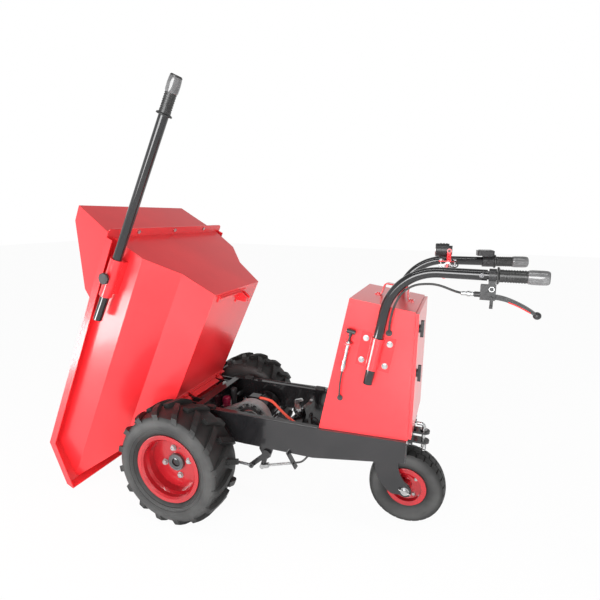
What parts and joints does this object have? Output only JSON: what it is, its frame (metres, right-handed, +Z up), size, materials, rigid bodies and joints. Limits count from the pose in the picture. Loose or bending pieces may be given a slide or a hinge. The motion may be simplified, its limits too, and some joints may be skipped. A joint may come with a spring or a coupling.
{
  "type": "electric power barrow",
  "caption": "Battery-driven walk-behind barrow with a tipping steel skip, driven front wheels, a rear caster and handlebars with brake and throttle.",
  "frame": {"origin": "on the ground, under the middle of the overall length and on the middle plane of the chassis", "axes": "+X towards the operator, +Y to the operator's right, +Z up; the skip is stored tipped, as in the picture"},
  "size_m": [1.5378, 0.707, 1.3632],
  "materials": {
    "red_paint": "gloss",
    "black_paint": "gloss",
    "zinc": "satin",
    "alu": "cast",
    "rubber": "matte",
    "tyre": "matte",
    "black_plastic": "matte",
    "orange_cable": "matte",
    "iron": "matte",
    "lens": "clear",
    "battery": "satin",
    "red_button": "gloss"
  },
  "bodies": {
    "chassis": {"chassis_frame": "black_paint", "frame_fasteners": "zinc", "rubber_pads": "rubber", "axle_housing": "iron", "gear_case": "alu", "drive_motor": "black_paint", "motor_cable": "orange_cable", "motor_controller": "alu", "battery_pack": "battery", "brake_shoes": "iron", "box_shell": "red_paint", "grab_handle": "red_paint", "handlebars": "black_paint", "handlebar_clamps": "red_paint", "lamp_bar": "red_paint", "left_grip": "rubber", "brake_perch": "black_paint", "control_cables": "rubber", "latch_guide": "zinc", "control_pod": "black_plastic", "lamp_bracket": "red_paint", "caster_head": "black_paint", "brake_spring": "zinc", "hitch_bracket": "black_paint"},
    "left_wheel": {"left_tyre": "tyre", "left_rim": "red_paint", "left_hub": "iron", "left_wheel_bolts": "zinc"},
    "right_wheel": {"right_tyre": "tyre", "right_rim": "red_paint", "right_hub": "iron", "right_wheel_bolts": "zinc"},
    "skip": {"skip_body": "red_paint", "skip_extension": "red_paint", "extension_screws": "zinc", "skip_brackets": "red_paint", "handle_sleeve": "red_paint"},
    "dump_bar": {"dump_handle": "black_paint", "dump_grip": "rubber"},
    "clamp_knob": {"clamp_knob": "black_plastic"},
    "door": {"box_door": "red_paint"},
    "door_latch_low": {"door_latch_low": "black_plastic"},
    "door_latch_high": {"door_latch_high": "black_plastic"},
    "caster_fork": {"caster_fork": "black_paint", "caster_pins": "zinc"},
    "caster_wheel": {"caster_tyre": "tyre", "caster_rim": "red_paint"},
    "throttle": {"throttle_grip": "rubber"},
    "brake_lever": {"brake_lever": "black_paint"},
    "park_tab": {"park_tab": "zinc"},
    "pod_button": {"pod_button": "red_button"},
    "lamp": {"lamp_body": "black_plastic", "lamp_lens": "lens"},
    "latch_knob": {"latch_knob": "black_plastic"},
    "skip_latch": {"skip_latch": "zinc"},
    "brake_crank": {"brake_crank": "black_paint"},
    "brake_rods": {"brake_rods": "zinc"},
    "pull_wire": {"pull_wire": "zinc"},
    "brake_cams": {"brake_cams": "zinc"},
    "hitch_pin": {"hitch_pin": "zinc"}
  },
  "joints": [
    {"name": "skip_tip", "type": "hinge", "parent": "chassis", "child": "skip", "pos_m": [-0.33083, 0, 0.331], "axis": [0, 1, 0], "range_deg": [0, 66.4]},
    {"name": "handle_slide", "type": "slide", "parent": "skip", "child": "dump_bar", "axis": [0.4337, 0, 0.9011], "range_m": [-0.3, 0.04]},
    {"name": "clamp_knob_turn", "type": "hinge", "parent": "skip", "child": "clamp_knob", "pos_m": [-0.43561, -0.328, 0.80663], "axis": [0, -1, 0], "range_deg": [0, 360]},
    {"name": "left_wheel_spin", "type": "hinge", "parent": "chassis", "child": "left_wheel", "pos_m": [-0.26083, -0.27, 0.199], "axis": [0, 1, 0], "continuous": true},
    {"name": "right_wheel_spin", "type": "hinge", "parent": "chassis", "child": "right_wheel", "pos_m": [-0.26083, 0.27, 0.199], "axis": [0, 1, 0], "continuous": true},
    {"name": "caster_swivel", "type": "hinge", "parent": "chassis", "child": "caster_fork", "pos_m": [0.38717, 0, 0.262], "axis": [0, 0, 1], "continuous": true},
    {"name": "caster_spin", "type": "hinge", "parent": "caster_fork", "child": "caster_wheel", "pos_m": [0.45317, 0, 0.125], "axis": [0, 1, 0], "continuous": true},
    {"name": "door_swing", "type": "hinge", "parent": "chassis", "child": "door", "pos_m": [0.46367, 0.1555, 0.55], "axis": [0, 0, 1], "range_deg": [0, 110]},
    {"name": "door_latch_low_turn", "type": "hinge", "parent": "door", "child": "door_latch_low", "pos_m": [0.47417, -0.122, 0.556], "axis": [1, 0, 0], "range_deg": [0, 90]},
    {"name": "door_latch_high_turn", "type": "hinge", "parent": "door", "child": "door_latch_high", "pos_m": [0.47417, -0.122, 0.689], "axis": [1, 0, 0], "range_deg": [0, 90]},
    {"name": "throttle_twist", "type": "hinge", "parent": "chassis", "child": "throttle", "pos_m": [0.71074, 0.19713, 0.86116], "axis": [0.9947, 0.1017, 0.0145], "range_deg": [0, 60], "stiffness_Nm_per_rad": 0.3, "springref_deg": -8.59},
    {"name": "brake_lever_pull", "type": "hinge", "parent": "chassis", "child": "brake_lever", "pos_m": [0.6378, -0.18968, 0.81409], "axis": [-0.1017, -0.9948, 0], "range_deg": [0, 20], "stiffness_Nm_per_rad": 2, "springref_deg": -28.65},
    {"name": "park_tab_turn", "type": "hinge", "parent": "chassis", "child": "park_tab", "pos_m": [0.64458, -0.20364, 0.80321], "axis": [-0.1017, -0.9948, 0], "range_deg": [0, 30], "stiffness_Nm_per_rad": 0.05, "springref_deg": -17.19},
    {"name": "pod_button_press", "type": "slide", "parent": "chassis", "child": "pod_button", "axis": [-0.1017, 0.9948, 0], "range_m": [0, 0.002], "stiffness_N_per_m": 600, "springref_m": -0.001},
    {"name": "lamp_tilt", "type": "hinge", "parent": "chassis", "child": "lamp", "pos_m": [0.52917, 0.11, 0.897], "axis": [0, 1, 0], "range_deg": [-8, 40]},
    {"name": "latch_knob_pull", "type": "slide", "parent": "chassis", "child": "latch_knob", "axis": [0.1822, 0, 0.9833], "range_m": [-0.014, 0]},
    {"name": "skip_latch_turn", "type": "hinge", "parent": "chassis", "child": "skip_latch", "pos_m": [0.05117, 0.045, 0.29], "axis": [0, 1, 0], "range_deg": [0, 18.2]},
    {"name": "brake_crank_turn", "type": "hinge", "parent": "chassis", "child": "brake_crank", "pos_m": [0.00917, 0, 0.221], "axis": [0, 1, 0], "range_deg": [-14.9, 0], "deforming": ["brake_spring"]},
    {"name": "brake_rod_turn", "type": "hinge", "parent": "brake_crank", "child": "brake_rods", "pos_m": [-0.04183, 0, 0.174], "axis": [0, 1, 0], "range_deg": [0, 19.64]},
    {"name": "pull_wire_turn", "type": "hinge", "parent": "brake_crank", "child": "pull_wire", "pos_m": [-0.00283, -0.165, 0.177], "axis": [0, 1, 0], "range_deg": [0, 12.21]},
    {"name": "brake_cam_turn", "type": "hinge", "parent": "chassis", "child": "brake_cams", "pos_m": [-0.21483, 0, 0.243], "axis": [0, 1, 0], "range_deg": [-20.63, 0]},
    {"name": "hitch_pin_lift", "type": "slide", "parent": "chassis", "child": "hitch_pin", "axis": [0, 0, 1], "range_m": [0, 0.006]}
  ],
  "couplings": [
    {"joint": "skip_latch_turn", "follows": "latch_knob_pull", "rad_per_m": -22.44},
    {"joint": "brake_crank_turn", "follows": "brake_lever_pull", "ratio": -0.73},
    {"joint": "brake_rod_turn", "follows": "brake_lever_pull", "ratio": 0.96678},
    {"joint": "pull_wire_turn", "follows": "brake_lever_pull", "ratio": 0.59534},
    {"joint": "brake_cam_turn", "follows": "brake_lever_pull", "ratio": -1.0166}
  ]
}
